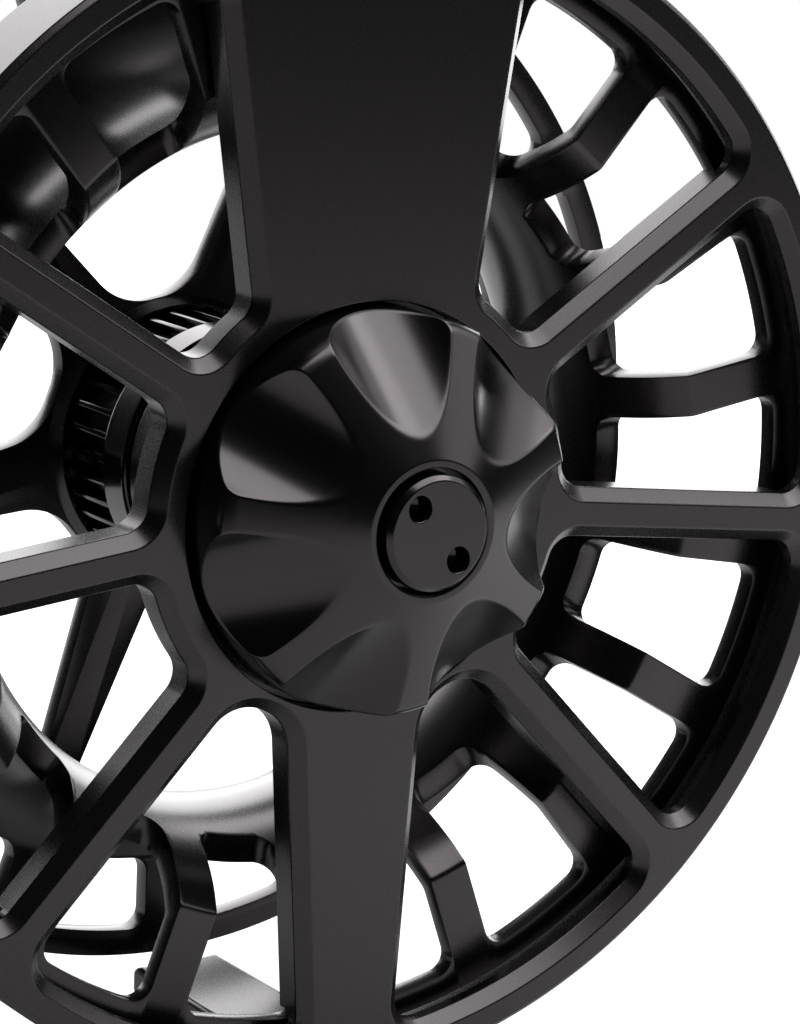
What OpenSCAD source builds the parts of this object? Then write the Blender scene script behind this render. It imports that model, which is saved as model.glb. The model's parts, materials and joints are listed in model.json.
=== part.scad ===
// Fly reel seen from its drag knob side: an open, chamfered frame with a conical knob,
// a large-arbor spool that slides on a splined drive hub, a sealed cone drag and a click pawl.
// All shapes are turned about the spin axis: z runs along it towards the knob, y up to the foot.
// The rear face of the frame lies at z = 0. Sizes are millimetres and angles are degrees.

/* [Frame] */
// Outer diameter of the frame rim
rim_d = 101.6; // [98:0.1:106]
// Thickness of the arms
arm_t = 3.8; // [3:0.1:4.2]
// Width of the 45 degree bevel round every window
bevel = 1.15; // [0.6:0.05:1.4]
// Radius of the inner end of a window, on the rear face
window_in_r = 19.3; // [19:0.1:21]
// Radius of the outer end of a window, on the rear face
window_out_r = 48.4; // [46:0.1:48.8]
// Corner radius of a window, on the rear face
window_fillet = 3.4; // [2.5:0.1:4]
// Radius of the inner end of the two bottom windows, on the rear face
low_window_in_r = 17.9; // [17.9:0.1:19.3]
// Round of the inner end of the two bottom windows, on the rear face
low_window_fillet = 5.1; // [3.4:0.1:5.1]
// Half width of the flat on a narrow arm
arm_half_w = 1.05; // [0.8:0.05:1.6]
// Direction of the upper narrow arms above the horizontal
upper_arm_a = 33.3; // [30:0.1:36]
// Angle from one narrow arm to the next
arm_pitch_a = 39.8; // [38:0.1:41]
// Half width of the top arm where the sides would cross the spin axis
top_arm_half_w = 7.2; // [6:0.1:9]
// Spread of each side of the top arm
top_arm_spread_a = 8.4; // [4:0.1:10]
// Half width of the bottom arm where the sides would cross the spin axis
bottom_arm_half_w = 6.7; // [5:0.1:8]
// Taper of each side of the bottom arm
bottom_arm_taper_a = 3.66; // [1:0.1:5]
// Length of the foot bridge and of the bottom pillar along the spin axis
cage_len = 31; // [28:0.5:33]

/* [Drag knob] */
// Diameter of the round pocket that the knob sits in
knob_pocket_d = 35; // [34.8:0.1:35.4]
// Diameter of the knob skirt
knob_d = 34; // [32:0.1:34.4]
// Height of the lands at the knob rim
land_rim_z = 5; // [4:0.1:6]
// Height of the knob top
knob_top_z = 10; // [9:0.1:11]
// Number of finger scallops
scallop_count = 7; // [5:1:9]
// Radius of the round cutter that makes a scallop
scallop_r = 8.3; // [7.5:0.1:9]
// Direction of the first scallop
scallop_a = 44.2; // [0:0.1:51]
// Diameter of the round cap
cap_d = 9.8; // [9:0.1:10.4]
// Height of the cap face
cap_z = 11; // [10.6:0.1:11.6]
// Distance between the two spanner holes of the cap
spanner_pitch = 6; // [5:0.1:6.4]
// Diameter of a spanner hole
spanner_d = 2.2; // [1.8:0.1:2.4]

/* [Spool] */
// Depth of the rear flange face below the frame face
flange_depth = 4.3; // [4.2:0.1:4.6]
// Thickness of the flanges and of the front spokes
flange_t = 1.8; // [1.4:0.1:2.2]
// Radius of the rear flange
rear_flange_r = 48; // [47.6:0.1:48.1]
// Radius of the front flange
front_flange_r = 48.8; // [48.2:0.1:48.9]
// Depth of the line side of the front flange
front_flange_depth = 32.7; // [32:0.1:33]
// Depth of the waist of the hollowed arbor
waist_depth = 18.9; // [18:0.1:20]
// Inner radius of the arbor at its waist
waist_in_r = 30.1; // [29.5:0.1:31]
// Radius of the curve that the arbor follows from flange to flange
arbor_curve_r = 19; // [18.6:0.1:20]
// Wall of the arbor
arbor_wall = 2.2; // [1.8:0.1:2.6]
// Number of bent arms that carry the rear flange
bent_arm_count = 18; // [12:1:20]
// Width of a bent arm
bent_arm_w = 3.8; // [3:0.1:4.5]
// Direction of the first bent arm
bent_arm_a = 9.4; // [0:0.1:20]
// Radius of the outer end of a flange window
flange_window_r = 46; // [45:0.1:46.4]
// Depth where the arbor slots end
slot_end_depth = 11.6; // [10:0.1:13]
// Number of front spokes
spoke_count = 6; // [5:1:7]
// Width of a front spoke where its sides would cross the spin axis
spoke_w = 8.6; // [7:0.1:10]
// Taper of each side of a front spoke
spoke_taper_a = 4.5; // [3:0.1:5]
// Direction of the first front spoke
spoke_a = 9.4; // [0:0.1:60]

/* [Handle] */
// Distance from the spin axis to the handle
crank_r = 42.5; // [42:0.1:43.5]
// Direction of the handle
crank_a = -10; // [-30:1:30]
// Length of the handle grip
grip_len = 20; // [16:0.5:24]

/* [Foot] */
// Length of the foot along the rod
foot_len = 63; // [58:0.5:68]
// Width of the foot
foot_w = 13.5; // [12:0.1:14.5]
// Distance from the spin axis to the rod side of the foot
foot_top = 59.5; // [58.5:0.1:61]

/* [Hidden] */
$fn = 96;
overlap = 0.05;
through = 1;
rim_r = rim_d / 2;
rim_edge = 0.5;
rim_lip_t = 2.2;
shroud_in_r = rear_flange_r + 0.5;
shroud_len = 8.4;
cage_in_r = front_flange_r + 0.6;
rim_relief_r = flange_window_r + 0.4;
bridge_top = foot_top - 6;
bridge_half_w = 15;
bridge_flank = 3;
bridge_edge = 1;
pillar_half_w = 4.5;
pillar_t = 2.8;
foot_mid = 17;
black = [0.11, 0.11, 0.12];
dark = [0.2, 0.2, 0.21];
steel = [0.68, 0.68, 0.7];
bronze = [0.55, 0.42, 0.24];
rubber = [0.05, 0.05, 0.05];

// Drag housing, from the pocket floor to the front lip
pocket_depth = 2.6;
housing_r = 12.5;
housing_step_depth = 16.7;
housing_lip_r = 11.7;
housing_in_r = 10.5;
housing_floor = 13.6;
bearing_seat_depth = 16.8;
click_room_depth = 17.4;
housing_end = 20.2;
click_room_r = 11;
boss_r = 19;
boss_depth = 8;
lip_r = 5;
bearing_r = 6;
bearing_bore_r = 3;
ball_r = 0.75;
ball_ring_r = 4.5;
ball_count = 8;
race_gap = 0.05;
race_shoulder = 0.4;
key_w = 3;
key_r = 11.3;
key_gap = 0.15;

// Cone drag
stem_r = 4;
stem_end_depth = 7.2;
seal_r = 0.58;
seal_depth = 3.4;
seal_room = 0.04;
cover_depth = 4.2;
nut_r = 10.2;
nut_depth = [4.6, 6.2];
nut_clearance = 0.06;
spring_in_r = 4.6;
spring_out_r = 9.6;
spring_t = 0.45;
cone_depth = [8.8, 13];
cone_r = [6.4, 8.4];
cone_gap = 0.35;
cone_slope = (cone_r[1] - cone_r[0]) / (cone_depth[1] - cone_depth[0]);
female_depth = [7.7, 8.2, 12.4];
female_hole_r = 3.6;

// Spindle, drive hub and one-way clutch
spindle_start = 8.4;
race_start = 17;
race_r = 4;
race_end = 33;
spindle_end = 34;
clip_depth = [33.1, 33.7];
clip_r = 5.4;
hub_start = 20.8;
hub_band_r = 12;
hub_band_end = 24.6;
hub_band_chamfer = 0.3;
hub_r = 11;
hub_end = 34.2;
rib_count = 36;
rib_a = 8.5;
rib_r = 11.95;
rib_w = 0.5;
hub_bore_r = 4.1;
hub_nose_r = 5;
hub_nose_start = 17.9;
clutch_depth = [21.8, 29.8];
clutch_r = 7;
clutch_in_r = 5.6;
roller_r = 0.76;
roller_count = 8;
bush_r = 6;
bush_clearance = 0.04;
tip_r = 8.4;
tip_end = 36.2;
o_ring_r = 0.65;
o_ring_depth = 35.2;
o_ring_seat = 0.55;

// Click gear and pawl
gear_tooth_count = 24;
gear_root_r = 6.1;
gear_tip_r = 7;
gear_root_w = 1;
gear_tip_w = 0.5;
gear_depth = [17.9, 19.9];
pawl_depth = [18.3, 19.8];
pawl_pivot = [-3.4, -8.7];
pawl_eye_r = 1.3;
pawl_arm_w = 1.2;
pawl_tip = [0, -6.4];
pawl_heel = [0.35, -7.75];
pawl_tip_half_w = 0.12;
pin_r = 0.7;
pin_clearance = 0.05;
pin_root_depth = 15;
pin_end_depth = 20;

// Knob
knob_r = knob_d / 2;
knob_bottom = -1.6;
knob_edge = 0.3;
knob_hollow = [5.5, 14];
knob_hollow_top = 1;
cap_pocket_r = 5.6;
cap_seat_z = 8;
cap_edge = 0.4;
cap_shank_r = 2;
cap_shank_len = 5;
spanner_depth = 2;
spanner_a = 130;
scallop_top = [7, knob_top_z];
scallop_low = [knob_r, 0.7];
scallop_run = scallop_low - scallop_top;
scallop_tilt = atan2(scallop_run[0], scallop_run[1]);
scallop_reach = 30;

// Spool
front_face = front_flange_depth + flange_t;
curve_centre_r = waist_in_r + arbor_curve_r;
line_curve_r = arbor_curve_r - arbor_wall;
arbor_steps = 16;
arm_steps = 6;
arm_gap = 0.1;
arm_end_r = flange_window_r - arm_gap;
arm_end_depth = slot_end_depth - overlap;
gap_in_r = 25;
front_window_in_r = 39.5;
front_window_out_r = 46.4;
pad_r = 6.2;
plate_r = 35.4;
plate_step = 0.5;
plate_start = front_flange_depth + plate_step;
plate_end = plate_start + flange_t;
boss_out_r = 12.8;
boss_tip_r = 12.3;
boss_start = 31.6;
nose_r = 11.2;
nose_end = 36.4;
spline_gap = 0.15;
spline_end = 34.4;
tip_bore_r = 9.2;
plate_window_in_fillet = 6;
plate_window_fillet = 3;
plate_lip = 0.1;
flange_window_fillet = 1.6;
spool_cap_r = 10.4;
spool_cap_t = 1.2;

// Handle and counterweight
post_r = 2;
post_head_r = 3.2;
post_head_t = 1.2;
washer_t = 0.4;
grip_gap = 0.3;
grip_start = front_face + washer_t + grip_gap;
grip_end = grip_start + grip_len;
grip_waist_r = 4.9;
grip_swell = 2.2;
grip_heel = 0.7;
grip_steps = 16;
bush_out_r = 3.2;
bush_bore_r = post_r + 0.05;
weight_r = 5.6;
weight_t = 2.6;
weight_screw_r = 1.5;

// Foot
foot_tip_t = 1.5;
foot_mid_t = 3;
foot_neck_half_w = 11;
foot_flank = 2;
foot_tip_r = 4.6;
screw_x = 7;
screw_r = 1.5;
screw_head_r = 2.8;
screw_head_y = [49.7, 51.3];
screw_end_y = foot_top - 2;
screw_start_y = foot_top / 2;

// One side of a window: the direction that it runs in and its distance from the spin axis
top_side = [90 - top_arm_spread_a, top_arm_half_w * cos(top_arm_spread_a)];
upper_side = [upper_arm_a, arm_half_w];
middle_side = [upper_arm_a - arm_pitch_a, arm_half_w];
lower_side = [upper_arm_a - 2 * arm_pitch_a, arm_half_w];
bottom_side = [-90 - bottom_arm_taper_a, bottom_arm_half_w * cos(bottom_arm_taper_a)];
frame_windows = [
    [top_side, upper_side, window_in_r, window_fillet],
    [upper_side, middle_side, window_in_r, window_fillet],
    [middle_side, lower_side, window_in_r, window_fillet],
    [lower_side, bottom_side, low_window_in_r, low_window_fillet]
];

function along(a) = [cos(a), sin(a)];
function left_of(a) = [-sin(a), cos(a)];
function bearing_of(p) = atan2(p[1], p[0]);
function arc(c, r, from, to, steps) =
    [for (i = [0:steps]) c + r * along(from + (to - from) * i / steps)];

// Centre of a corner round that touches a side and lies at a reach from the spin axis
function corner(a, side, off, reach) =
    side * off * left_of(a) + sqrt(reach * reach - off * off) * along(a);

// Outline of a window between side p, turned further left, and side q, drawn in by an inset
function window_outline(p, q, r_in, r_out, round_in, round_out, inset) =
    let (
        f = round_in - inset,
        g = round_out - inset,
        p_in = corner(p[0], -1, p[1] + inset + f, r_in + inset + f),
        q_in = corner(q[0], 1, q[1] + inset + f, r_in + inset + f),
        p_out = corner(p[0], -1, p[1] + inset + g, r_out - inset - g),
        q_out = corner(q[0], 1, q[1] + inset + g, r_out - inset - g)
    )
    concat(
        arc(q_out, g, q[0] - 90, bearing_of(q_out), 5),
        arc([0, 0], r_out - inset, bearing_of(q_out) + 1, bearing_of(p_out) - 1, 8),
        arc(p_out, g, bearing_of(p_out), p[0] + 90, 5),
        arc(p_in, f, p[0] + 90, bearing_of(p_in) + 180, 5),
        arc(q_in, f, bearing_of(q_in) + 180, q[0] + 270, 5)
    );

// Moves a shape from the turning frame to where the reel hangs below the rod
module on_reel() {
    translate([0, -foot_mid, -foot_top]) rotate([90, 0, 0]) children();
}

// Tube or disc between two depths below the frame face
module ring(r_out, r_in, from, to) {
    translate([0, 0, -to]) difference() {
        cylinder(h = to - from, r = r_out);
        if (r_in > 0)
            translate([0, 0, -through]) cylinder(h = to - from + 2 * through, r = r_in);
    }
}

// Prism between two depths below the frame face
module slab(from, to) {
    translate([0, 0, -to]) linear_extrude(height = to - from) children();
}

// Outline of a frame window given as its two sides, the radius of its inner end and the round there
function frame_outline(w, inset) =
    window_outline(w[0], w[1], w[2], window_out_r, w[3], window_fillet, inset);

module frame_window(w) {
    n = len(frame_outline(w, 0));
    slab(-through, arm_t + through) polygon(frame_outline(w, bevel));
    polyhedron(
        points = concat(
            [for (v = frame_outline(w, -overlap)) [v[0], v[1], overlap]],
            [for (v = frame_outline(w, bevel)) [v[0], v[1], -bevel]]
        ),
        faces = concat(
            [[for (i = [0:n - 1]) n - 1 - i]],
            [[for (i = [0:n - 1]) n + i]],
            [for (i = [0:n - 1]) [i, (i + 1) % n, n + (i + 1) % n]],
            [for (i = [0:n - 1]) [i, n + (i + 1) % n, n + i]]
        )
    );
}

module frame_blank() {
    rotate_extrude() polygon([
        [0, 0], [rim_r - rim_edge, 0], [rim_r, -rim_edge], [rim_r, -shroud_len], [shroud_in_r, -shroud_len],
        [shroud_in_r, -rim_lip_t], [rim_relief_r, -rim_lip_t], [rim_relief_r, -arm_t], [boss_r, -arm_t],
        [housing_r, -boss_depth], [housing_r, -housing_step_depth], [housing_lip_r, -housing_step_depth],
        [housing_lip_r, -housing_end], [0, -housing_end]
    ]);
    slab(0, cage_len) difference() {
        polygon([
            [-bridge_half_w - bridge_flank, 0], [bridge_half_w + bridge_flank, 0],
            [bridge_half_w, bridge_top - bridge_edge], [bridge_half_w - bridge_edge, bridge_top],
            [bridge_edge - bridge_half_w, bridge_top], [-bridge_half_w, bridge_top - bridge_edge]
        ]);
        circle(r = cage_in_r);
    }
    slab(0, cage_len) intersection() {
        translate([-pillar_half_w, -rim_d]) square([2 * pillar_half_w, rim_d]);
        difference() {
            circle(r = cage_in_r + pillar_t);
            circle(r = cage_in_r);
        }
    }
}

module frame() {
    color(black) on_reel() difference() {
        frame_blank();
        for (w = frame_windows) {
            frame_window(w);
            mirror([1, 0, 0]) frame_window(w);
        }
        ring(knob_pocket_d / 2, 0, -through, pocket_depth);
        ring(housing_in_r, 0, 0, housing_floor);
        ring(bearing_r, 0, 0, bearing_seat_depth);
        ring(lip_r, 0, 0, housing_end);
        ring(click_room_r, 0, click_room_depth, housing_end + through);
        slab(pocket_depth, housing_floor)
            translate([-key_r, -key_w / 2]) square([2 * key_r, key_w]);
        translate([pawl_pivot[0], pawl_pivot[1], 0]) ring(pin_r, 0, pin_root_depth, housing_end);
        foot_screw_posts(screw_r, screw_start_y, foot_top);
        foot_screw_posts(screw_head_r, screw_start_y, screw_head_y[1]);
    }
}

// Upright round posts under the foot, between two heights above the spin axis
module foot_screw_posts(r, from, to) {
    for (x = [-screw_x, screw_x])
        translate([x, from, -foot_mid]) rotate([-90, 0, 0]) cylinder(h = to - from, r = r);
}

module reel_foot() {
    color(black) on_reel() difference() {
        intersection() {
            slab(0, 2 * foot_mid) polygon([
                [-foot_len / 2, foot_top], [foot_len / 2, foot_top], [foot_len / 2, foot_top - foot_tip_t],
                [foot_neck_half_w + foot_flank, foot_top - foot_mid_t], [foot_neck_half_w, bridge_top],
                [-foot_neck_half_w, bridge_top], [-foot_neck_half_w - foot_flank, foot_top - foot_mid_t],
                [-foot_len / 2, foot_top - foot_tip_t]
            ]);
            translate([0, 0, -foot_mid]) rotate([-90, 0, 0]) linear_extrude(height = foot_top + through) {
                for (side = [-1, 1])
                    translate([side * (foot_len / 2 - foot_tip_r), 0]) circle(r = foot_tip_r);
                polygon([
                    [-foot_len / 2 + foot_tip_r, -foot_tip_r], [-foot_len / 4, -foot_w / 2],
                    [foot_len / 4, -foot_w / 2], [foot_len / 2 - foot_tip_r, -foot_tip_r],
                    [foot_len / 2 - foot_tip_r, foot_tip_r], [foot_len / 4, foot_w / 2],
                    [-foot_len / 4, foot_w / 2], [-foot_len / 2 + foot_tip_r, foot_tip_r]
                ]);
            }
        }
        foot_screw_posts(screw_r, screw_start_y, screw_end_y);
    }
}

module foot_screws() {
    color(steel) on_reel() {
        foot_screw_posts(screw_r, screw_head_y[1] - overlap, screw_end_y);
        foot_screw_posts(screw_head_r, screw_head_y[0], screw_head_y[1]);
    }
}

module housing_cover() {
    color(dark) on_reel() difference() {
        ring(housing_in_r, stem_r + nut_clearance, pocket_depth, cover_depth);
        ring(stem_r + 2 * seal_r + 4 * seal_room + nut_clearance, 0, seal_depth - seal_r - seal_room,
            seal_depth + seal_r + seal_room);
    }
}

module stem_seal() {
    color(rubber) on_reel() translate([0, 0, -seal_depth])
        rotate_extrude() translate([stem_r + seal_r + 2 * seal_room, 0]) circle(r = seal_r, $fn = 48);
}

// Race of the bearing between two radii, with a round track for the balls
module race(r_out, r_in) {
    difference() {
        ring(r_out, r_in, housing_floor, bearing_seat_depth);
        translate([0, 0, -(housing_floor + bearing_seat_depth) / 2])
            rotate_extrude() translate([ball_ring_r, 0]) circle(r = ball_r + race_gap, $fn = 48);
    }
}

module bearing_outer() {
    color(steel) on_reel() race(bearing_r, ball_ring_r + race_shoulder);
}

module bearing_inner() {
    color(steel) on_reel() race(ball_ring_r - race_shoulder, bearing_bore_r);
}

module bearing_balls() {
    color(steel) on_reel()
        for (i = [0:ball_count - 1])
            rotate(i * 360 / ball_count)
                translate([ball_ring_r, 0, -(housing_floor + bearing_seat_depth) / 2])
                    sphere(r = ball_r, $fn = 32);
}

module pawl_pin() {
    color(steel) on_reel() translate([pawl_pivot[0], pawl_pivot[1], 0])
        ring(pin_r, 0, pin_root_depth, pin_end_depth);
}

module pawl_spring() {
    color(steel) on_reel() translate([pawl_pivot[0], pawl_pivot[1], 0])
        ring(pawl_eye_r - 2 * pin_clearance, pin_r + pin_clearance, click_room_depth,
            pawl_depth[0] - 2 * pin_clearance);
}

module click_pawl() {
    arm_a = bearing_of(pawl_heel - pawl_pivot);
    arm_len = norm(pawl_heel - pawl_pivot);
    color(steel) on_reel() difference() {
        slab(pawl_depth[0], pawl_depth[1]) {
            translate(pawl_pivot) circle(r = pawl_eye_r);
            translate(pawl_pivot) rotate(arm_a) translate([0, -pawl_arm_w / 2]) square([arm_len, pawl_arm_w]);
            polygon([
                pawl_tip - [pawl_tip_half_w, 0], pawl_heel - [pawl_arm_w, 0], pawl_heel,
                pawl_tip + [pawl_tip_half_w, 0]
            ]);
        }
        translate([pawl_pivot[0], pawl_pivot[1], 0])
            ring(pin_r + pin_clearance, 0, pawl_depth[0] - through, pawl_depth[1] + through);
    }
}

module drag_knob() {
    color(black) on_reel() difference() {
        rotate_extrude() polygon([
            [stem_r, knob_bottom], [knob_hollow[0], knob_bottom], [knob_hollow[0], knob_hollow_top],
            [knob_hollow[1], knob_hollow_top], [knob_hollow[1], knob_bottom],
            [knob_r - knob_edge, knob_bottom],
            [knob_r, knob_bottom + knob_edge], [knob_r, land_rim_z], [cap_pocket_r + knob_edge, knob_top_z],
            [cap_pocket_r, knob_top_z - knob_edge], [cap_pocket_r, cap_seat_z], [stem_r, cap_seat_z]
        ]);
        for (i = [0:scallop_count - 1])
            rotate(scallop_a + i * 360 / scallop_count)
                translate([scallop_top[0], 0, scallop_top[1]]) rotate([0, scallop_tilt, 0])
                    translate([-scallop_r, 0, -scallop_reach]) cylinder(h = 2 * scallop_reach, r = scallop_r);
    }
}

module knob_stem() {
    color(steel) on_reel() difference() {
        ring(stem_r, 0, -cap_seat_z, stem_end_depth);
        ring(cap_shank_r, 0, -cap_seat_z - through, cap_shank_len - cap_seat_z);
    }
}

module knob_cap() {
    color(dark) on_reel() difference() {
        rotate_extrude() polygon([
            [0, cap_seat_z - cap_shank_len], [cap_shank_r, cap_seat_z - cap_shank_len],
            [cap_shank_r, cap_seat_z], [cap_d / 2, cap_seat_z], [cap_d / 2, cap_z - cap_edge],
            [cap_d / 2 - cap_edge, cap_z], [0, cap_z]
        ]);
        for (turn = [0, 180])
            rotate(spanner_a + turn) translate([spanner_pitch / 2, 0, cap_z - spanner_depth])
                cylinder(h = spanner_depth + through, r = spanner_d / 2);
    }
}

module drag_nut() {
    color(bronze) on_reel() difference() {
        union() {
            ring(nut_r, 0, nut_depth[0], nut_depth[1]);
            slab(nut_depth[0], nut_depth[1])
                translate([-key_r + key_gap, -key_w / 2 + key_gap])
                    square([2 * (key_r - key_gap), key_w - 2 * key_gap]);
        }
        ring(stem_r + nut_clearance, 0, nut_depth[0] - through, nut_depth[1] + through);
    }
}

// Two dished washers set rim to rim
module drag_spring() {
    rise = (female_depth[0] - nut_depth[1] - overlap) / 2 - spring_t;
    middle = (female_depth[0] + nut_depth[1]) / 2;
    color(steel) on_reel() rotate_extrude() {
        polygon([
            [spring_in_r, -nut_depth[1]], [spring_out_r, -nut_depth[1] - rise],
            [spring_out_r, -middle + overlap / 2], [spring_in_r, -nut_depth[1] - spring_t]
        ]);
        polygon([
            [spring_in_r, -female_depth[0]], [spring_out_r, -female_depth[0] + rise],
            [spring_out_r, -middle - overlap / 2], [spring_in_r, -female_depth[0] + spring_t]
        ]);
    }
}

function cone_r_at(depth) = cone_r[0] + (depth - cone_depth[0]) * cone_slope;

module female_cone() {
    color(bronze) on_reel() rotate_extrude() polygon([
        [female_hole_r, -female_depth[0]], [nut_r, -female_depth[0]], [nut_r, -female_depth[2]],
        [cone_r_at(female_depth[2]) + cone_gap, -female_depth[2]],
        [cone_r_at(female_depth[1]) + cone_gap, -female_depth[1]], [female_hole_r, -female_depth[1]]
    ]);
}

module male_cone() {
    color(dark) on_reel() rotate_extrude() polygon([
        [bearing_bore_r, -cone_depth[0]], [cone_r[0], -cone_depth[0]], [cone_r[1], -cone_depth[1]],
        [bearing_bore_r, -cone_depth[1]]
    ]);
}

module spindle() {
    color(steel) on_reel() rotate_extrude() polygon([
        [0, -spindle_start], [bearing_bore_r, -spindle_start], [bearing_bore_r, -race_start],
        [race_r, -race_start], [race_r, -race_end], [bearing_bore_r, -race_end],
        [bearing_bore_r, -spindle_end], [0, -spindle_end]
    ]);
}

module spindle_clip() {
    color(steel) on_reel() ring(clip_r, bearing_bore_r, clip_depth[0], clip_depth[1]);
}

module drive_hub() {
    color(dark) on_reel() difference() {
        union() {
            rotate_extrude() polygon([
                [hub_bore_r, -hub_nose_start], [hub_nose_r, -hub_nose_start], [hub_nose_r, -hub_start],
                [hub_band_r - hub_band_chamfer, -hub_start], [hub_band_r, -hub_start - hub_band_chamfer],
                [hub_band_r, -hub_band_end], [hub_r, -hub_band_end],
                [hub_r, -hub_end], [tip_r, -hub_end], [tip_r, o_ring_r - o_ring_depth],
                [tip_r - o_ring_seat, o_ring_r - o_ring_depth],
                [tip_r - o_ring_seat, -o_ring_r - o_ring_depth],
                [tip_r, -o_ring_r - o_ring_depth], [tip_r, -tip_end], [hub_bore_r, -tip_end]
            ]);
            slab(hub_band_end - overlap, hub_end) ribs(rib_r, rib_w);
        }
        ring(clutch_r, 0, clutch_depth[0], clutch_depth[1]);
        ring(bush_r, 0, clutch_depth[1] - through, tip_end + through);
    }
}

// Bars from inside the hub out to a radius, one for each spline
module ribs(r, w) {
    for (i = [0:rib_count - 1])
        rotate(rib_a + i * 360 / rib_count) translate([clutch_r + through, -w / 2])
            square([r - clutch_r - through, w]);
}

module click_gear() {
    color(steel) on_reel() slab(gear_depth[0], gear_depth[1]) difference() {
        union() {
            circle(r = gear_root_r);
            for (i = [0:gear_tooth_count - 1])
                rotate((i + 0.5) * 360 / gear_tooth_count) polygon([
                    [hub_nose_r, -gear_root_w / 2], [gear_root_r, -gear_root_w / 2],
                    [gear_tip_r, -gear_tip_w / 2], [gear_tip_r, gear_tip_w / 2],
                    [gear_root_r, gear_root_w / 2], [hub_nose_r, gear_root_w / 2]
                ]);
        }
        circle(r = hub_nose_r);
    }
}

module clutch_cup() {
    color(steel) on_reel() ring(clutch_r, clutch_in_r, clutch_depth[0], clutch_depth[1]);
}

module clutch_rollers() {
    color(steel) on_reel()
        for (i = [0:roller_count - 1])
            rotate(i * 360 / roller_count) translate([(race_r + clutch_in_r) / 2, 0, 0])
                ring(roller_r, 0, clutch_depth[0] + race_shoulder, clutch_depth[1] - race_shoulder);
}

module hub_bush() {
    color(bronze) on_reel() ring(bush_r, race_r + bush_clearance, clutch_depth[1], race_end);
}

module spool_o_ring() {
    color(rubber) on_reel() translate([0, 0, -o_ring_depth])
        rotate_extrude() translate([tip_r - o_ring_seat + o_ring_r, 0]) circle(r = o_ring_r, $fn = 48);
}

// Points of the arbor curve from one depth to another
function arbor_curve(r, from, to, steps) =
    [for (i = [0:steps]) let (depth = from + (to - from) * i / steps)
        [curve_centre_r - sqrt(r * r - pow(depth - waist_depth, 2)), -depth]];

// Gap between two arms of a flange, between two radii
module flange_gap(r_in, r_out) {
    polygon(window_outline([180 / bent_arm_count, bent_arm_w / 2], [-180 / bent_arm_count, bent_arm_w / 2],
        r_in, r_out, flange_window_fillet, flange_window_fillet, 0));
}

module spool_rear_flange() {
    color(black) on_reel() ring(rear_flange_r, arm_end_r, flange_depth, flange_depth + flange_t);
}

// The bent arms run in along the flange, turn, and run on along the arbor
module spool_arms() {
    color(black) on_reel() difference() {
        rotate_extrude() polygon(concat(
            [[arm_end_r, -flange_depth]],
            arbor_curve(arbor_curve_r, flange_depth, arm_end_depth, arm_steps),
            arbor_curve(line_curve_r, arm_end_depth, flange_depth + flange_t, arm_steps),
            [[arm_end_r, -flange_depth - flange_t]]
        ));
        for (i = [0:bent_arm_count - 1])
            rotate(bent_arm_a + (i + 0.5) * 360 / bent_arm_count)
                slab(flange_depth - through, slot_end_depth) flange_gap(gap_in_r, flange_window_r);
    }
}

module spool_arbor() {
    color(black) on_reel() rotate_extrude() polygon(concat(
        arbor_curve(arbor_curve_r, arm_end_depth, front_flange_depth, arbor_steps),
        arbor_curve(line_curve_r, front_flange_depth, arm_end_depth, arbor_steps)
    ));
}

// Windowed front flange with a round pad under the handle and another under the counterweight
module spool_front_flange() {
    color(black) on_reel() slab(front_flange_depth, front_face) difference() {
        circle(r = front_flange_r);
        circle(r = plate_r);
        for (i = [0:bent_arm_count - 1])
            difference() {
                rotate(spoke_a + (i + 0.5) * 360 / bent_arm_count)
                    flange_gap(front_window_in_r, front_window_out_r);
                at_crank(0) circle(r = pad_r);
                at_crank(180) circle(r = pad_r);
            }
        at_crank(0) circle(r = post_r);
        at_crank(180) circle(r = weight_screw_r);
    }
}

// Spokes and the grooved boss that slides on the ribs of the hub
module spool_spokes() {
    color(black) on_reel() difference() {
        rotate_extrude() polygon([
            [plate_r, -plate_start], [plate_r, -plate_end], [nose_r, -plate_end],
            [nose_r, -nose_end], [tip_bore_r, -nose_end], [tip_bore_r, -spline_end],
            [hub_r + spline_gap, -spline_end], [hub_r + spline_gap, -boss_start],
            [boss_tip_r, -boss_start], [boss_out_r, -plate_start]
        ]);
        for (i = [0:spoke_count - 1])
            rotate(spoke_a + (i + 0.5) * 360 / spoke_count)
                slab(plate_start - through, plate_end + through) polygon(window_outline(
                    [180 / spoke_count + spoke_taper_a, spoke_w / 2 * cos(spoke_taper_a)],
                    [-180 / spoke_count - spoke_taper_a, spoke_w / 2 * cos(spoke_taper_a)],
                    boss_out_r + plate_lip, plate_r + arm_gap, plate_window_in_fillet, plate_window_fillet, 0));
        slab(boss_start - through, spline_end) ribs(rib_r + spline_gap, rib_w + 2 * spline_gap);
    }
}

// Places a shape at the handle, or across from it
module at_crank(turn) {
    rotate(crank_a + turn) translate([crank_r, 0, 0]) children();
}

module spool_cap() {
    color(black) on_reel() ring(spool_cap_r, 0, nose_end, nose_end + spool_cap_t);
}

module counterweight() {
    color(dark) on_reel() at_crank(180)
        ring(weight_r, weight_screw_r, front_face, front_face + weight_t);
}

module counterweight_screw() {
    color(steel) on_reel() at_crank(180) {
        ring(weight_screw_r, 0, front_flange_depth, front_face + weight_t + overlap);
        ring(2 * weight_screw_r, 0, front_face + weight_t,
            front_face + weight_t + weight_screw_r);
    }
}

module handle_post() {
    color(steel) on_reel() at_crank(0) {
        ring(post_r, 0, front_flange_depth, grip_end);
        ring(post_head_r, 0, grip_end + grip_gap, grip_end + grip_gap + post_head_t);
        ring(post_r, 0, grip_end - overlap, grip_end + grip_gap + overlap);
    }
}

module handle_washer() {
    color(steel) on_reel() at_crank(0)
        ring(2 * post_r, post_r, front_face, front_face + washer_t);
}

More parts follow.
